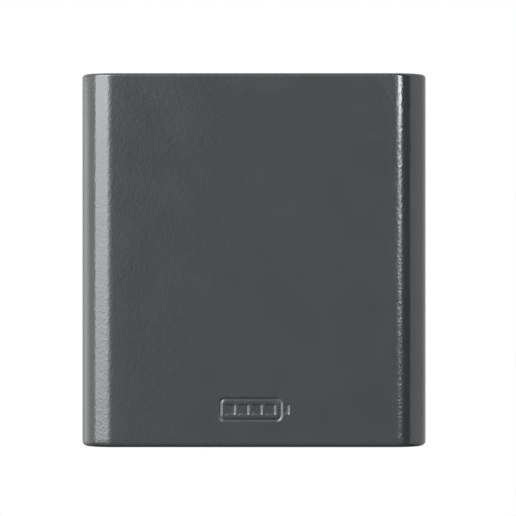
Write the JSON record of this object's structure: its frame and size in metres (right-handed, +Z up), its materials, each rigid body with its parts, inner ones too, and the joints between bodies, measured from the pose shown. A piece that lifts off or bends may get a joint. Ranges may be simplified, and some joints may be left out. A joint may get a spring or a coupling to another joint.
{
  "type": "wall battery unit",
  "caption": "Wall-hung battery unit: coated hood with round front edges over a sealed battery housing and wiring bay, hung on a slotted steel bracket.",
  "frame": {"origin": "centre of the wall bracket's back face, on the wall plane", "axes": "+Z up; -Y out of the wall, towards the viewer; +X to the right seen from the front"},
  "size_m": [0.19, 0.08, 0.2052],
  "materials": {
    "grey_coat": "fine-grained satin powder coat",
    "housing_plastic": "moulded, fine texture",
    "light_plastic": "moulded, satin",
    "black_plastic": "moulded, satin",
    "orange_plastic": "moulded, semi-gloss",
    "green_fuse": "clear tinted moulding",
    "rubber": "soft moulded rubber",
    "zinc_steel": "zinc plated",
    "spring_steel": "bright rolled",
    "nickel": "satin nickel strip",
    "bare_aluminium": "extruded",
    "cell_sleeve": null,
    "board_laminate": "solder resist over laminate",
    "copper_winding": "enamelled copper wire on a ring core",
    "red_insulation": "wire insulation",
    "black_insulation": "wire insulation"
  },
  "bodies": {
    "bracket": {"wall_bracket": "zinc_steel"},
    "unit": {"rear_housing": "housing_plastic", "inner_lid": "light_plastic", "lid_gasket": "rubber", "hanger_rail": "zinc_steel", "wall_buffer": "rubber", "cover_clip_left": "spring_steel", "cover_clip_right": "spring_steel", "cell_holder_lower": "black_plastic", "cell_holder_upper": "black_plastic", "busbar_negative": "nickel", "busbar_positive": "nickel", "busbar_link": "nickel", "busbar_upper_front": "nickel", "busbar_upper_rear": "nickel", "control_board": "board_laminate", "heat_sink": "bare_aluminium", "inductor": "copper_winding", "capacitor": "black_plastic", "board_connector": "black_plastic", "board_screw_1": "zinc_steel", "board_screw_2": "zinc_steel", "battery_lead_positive": "red_insulation", "output_lead_positive": "red_insulation", "battery_lead_negative": "black_insulation", "output_lead_negative": "black_insulation", "lead_grommet": "rubber", "terminal_block": "light_plastic", "breaker_body": "black_plastic", "fuse_base": "black_plastic", "cable_gland_1": "light_plastic", "cable_gland_2": "light_plastic", "gland_plug_1": "rubber", "gland_plug_2": "rubber", "vent_plug": "light_plastic", "button_bezel": "black_plastic", "button_spring": "spring_steel", "service_port": "black_plastic", "cell_front_1": "cell_sleeve", "cell_front_2": "cell_sleeve", "cell_front_3": "cell_sleeve", "cell_front_4": "cell_sleeve", "cell_rear_1": "cell_sleeve", "cell_rear_2": "cell_sleeve", "cell_rear_3": "cell_sleeve", "cell_rear_4": "cell_sleeve", "lid_screw_1": "zinc_steel", "lid_screw_2": "zinc_steel", "lid_screw_3": "zinc_steel", "lid_screw_4": "zinc_steel"},
    "cover": {"front_cover": "grey_coat"},
    "toggle": {"breaker_toggle": "orange_plastic"},
    "fuse": {"fuse_carrier": "light_plastic", "blade_fuse": "green_fuse"},
    "button": {"button_cap": "rubber"},
    "cap": {"port_cap": "rubber"},
    "lever_1": {"terminal_lever_1": "orange_plastic"},
    "lever_2": {"terminal_lever_2": "orange_plastic"},
    "lever_3": {"terminal_lever_3": "orange_plastic"},
    "lever_4": {"terminal_lever_4": "orange_plastic"}
  },
  "joints": [
    {"name": "unit_lift", "type": "slide", "parent": "bracket", "child": "unit", "axis": [0, 0, 1], "range_m": [0, 0.014]},
    {"name": "cover_pull", "type": "slide", "parent": "unit", "child": "cover", "axis": [0, -1, 0], "range_m": [0, 0.09]},
    {"name": "toggle_throw", "type": "hinge", "parent": "unit", "child": "toggle", "pos_m": [0.037, -0.0475, -0.051], "axis": [-1, 0, 0], "range_deg": [0, 50]},
    {"name": "fuse_pull", "type": "slide", "parent": "unit", "child": "fuse", "axis": [0, -1, 0], "range_m": [0, 0.015]},
    {"name": "button_press", "type": "slide", "parent": "unit", "child": "button", "axis": [0, 0, 1], "range_m": [0, 0.0015], "stiffness_N_per_m": 800, "springref_m": -0.001, "deforming": ["button_spring"]},
    {"name": "port_cap_hinge", "type": "hinge", "parent": "unit", "child": "cap", "pos_m": [0.024, -0.0226, -0.0844], "axis": [1, 0, 0], "range_deg": [0, 110]},
    {"name": "lever_1_tilt", "type": "hinge", "parent": "unit", "child": "lever_1", "pos_m": [-0.009, -0.0355, -0.0436], "axis": [-1, 0, 0], "range_deg": [0, 80]},
    {"name": "lever_2_tilt", "type": "hinge", "parent": "unit", "child": "lever_2", "pos_m": [-0.001, -0.0355, -0.0436], "axis": [-1, 0, 0], "range_deg": [0, 80]},
    {"name": "lever_3_tilt", "type": "hinge", "parent": "unit", "child": "lever_3", "pos_m": [0.007, -0.0355, -0.0436], "axis": [-1, 0, 0], "range_deg": [0, 80]},
    {"name": "lever_4_tilt", "type": "hinge", "parent": "unit", "child": "lever_4", "pos_m": [0.015, -0.0355, -0.0436], "axis": [-1, 0, 0], "range_deg": [0, 80]}
  ]
}
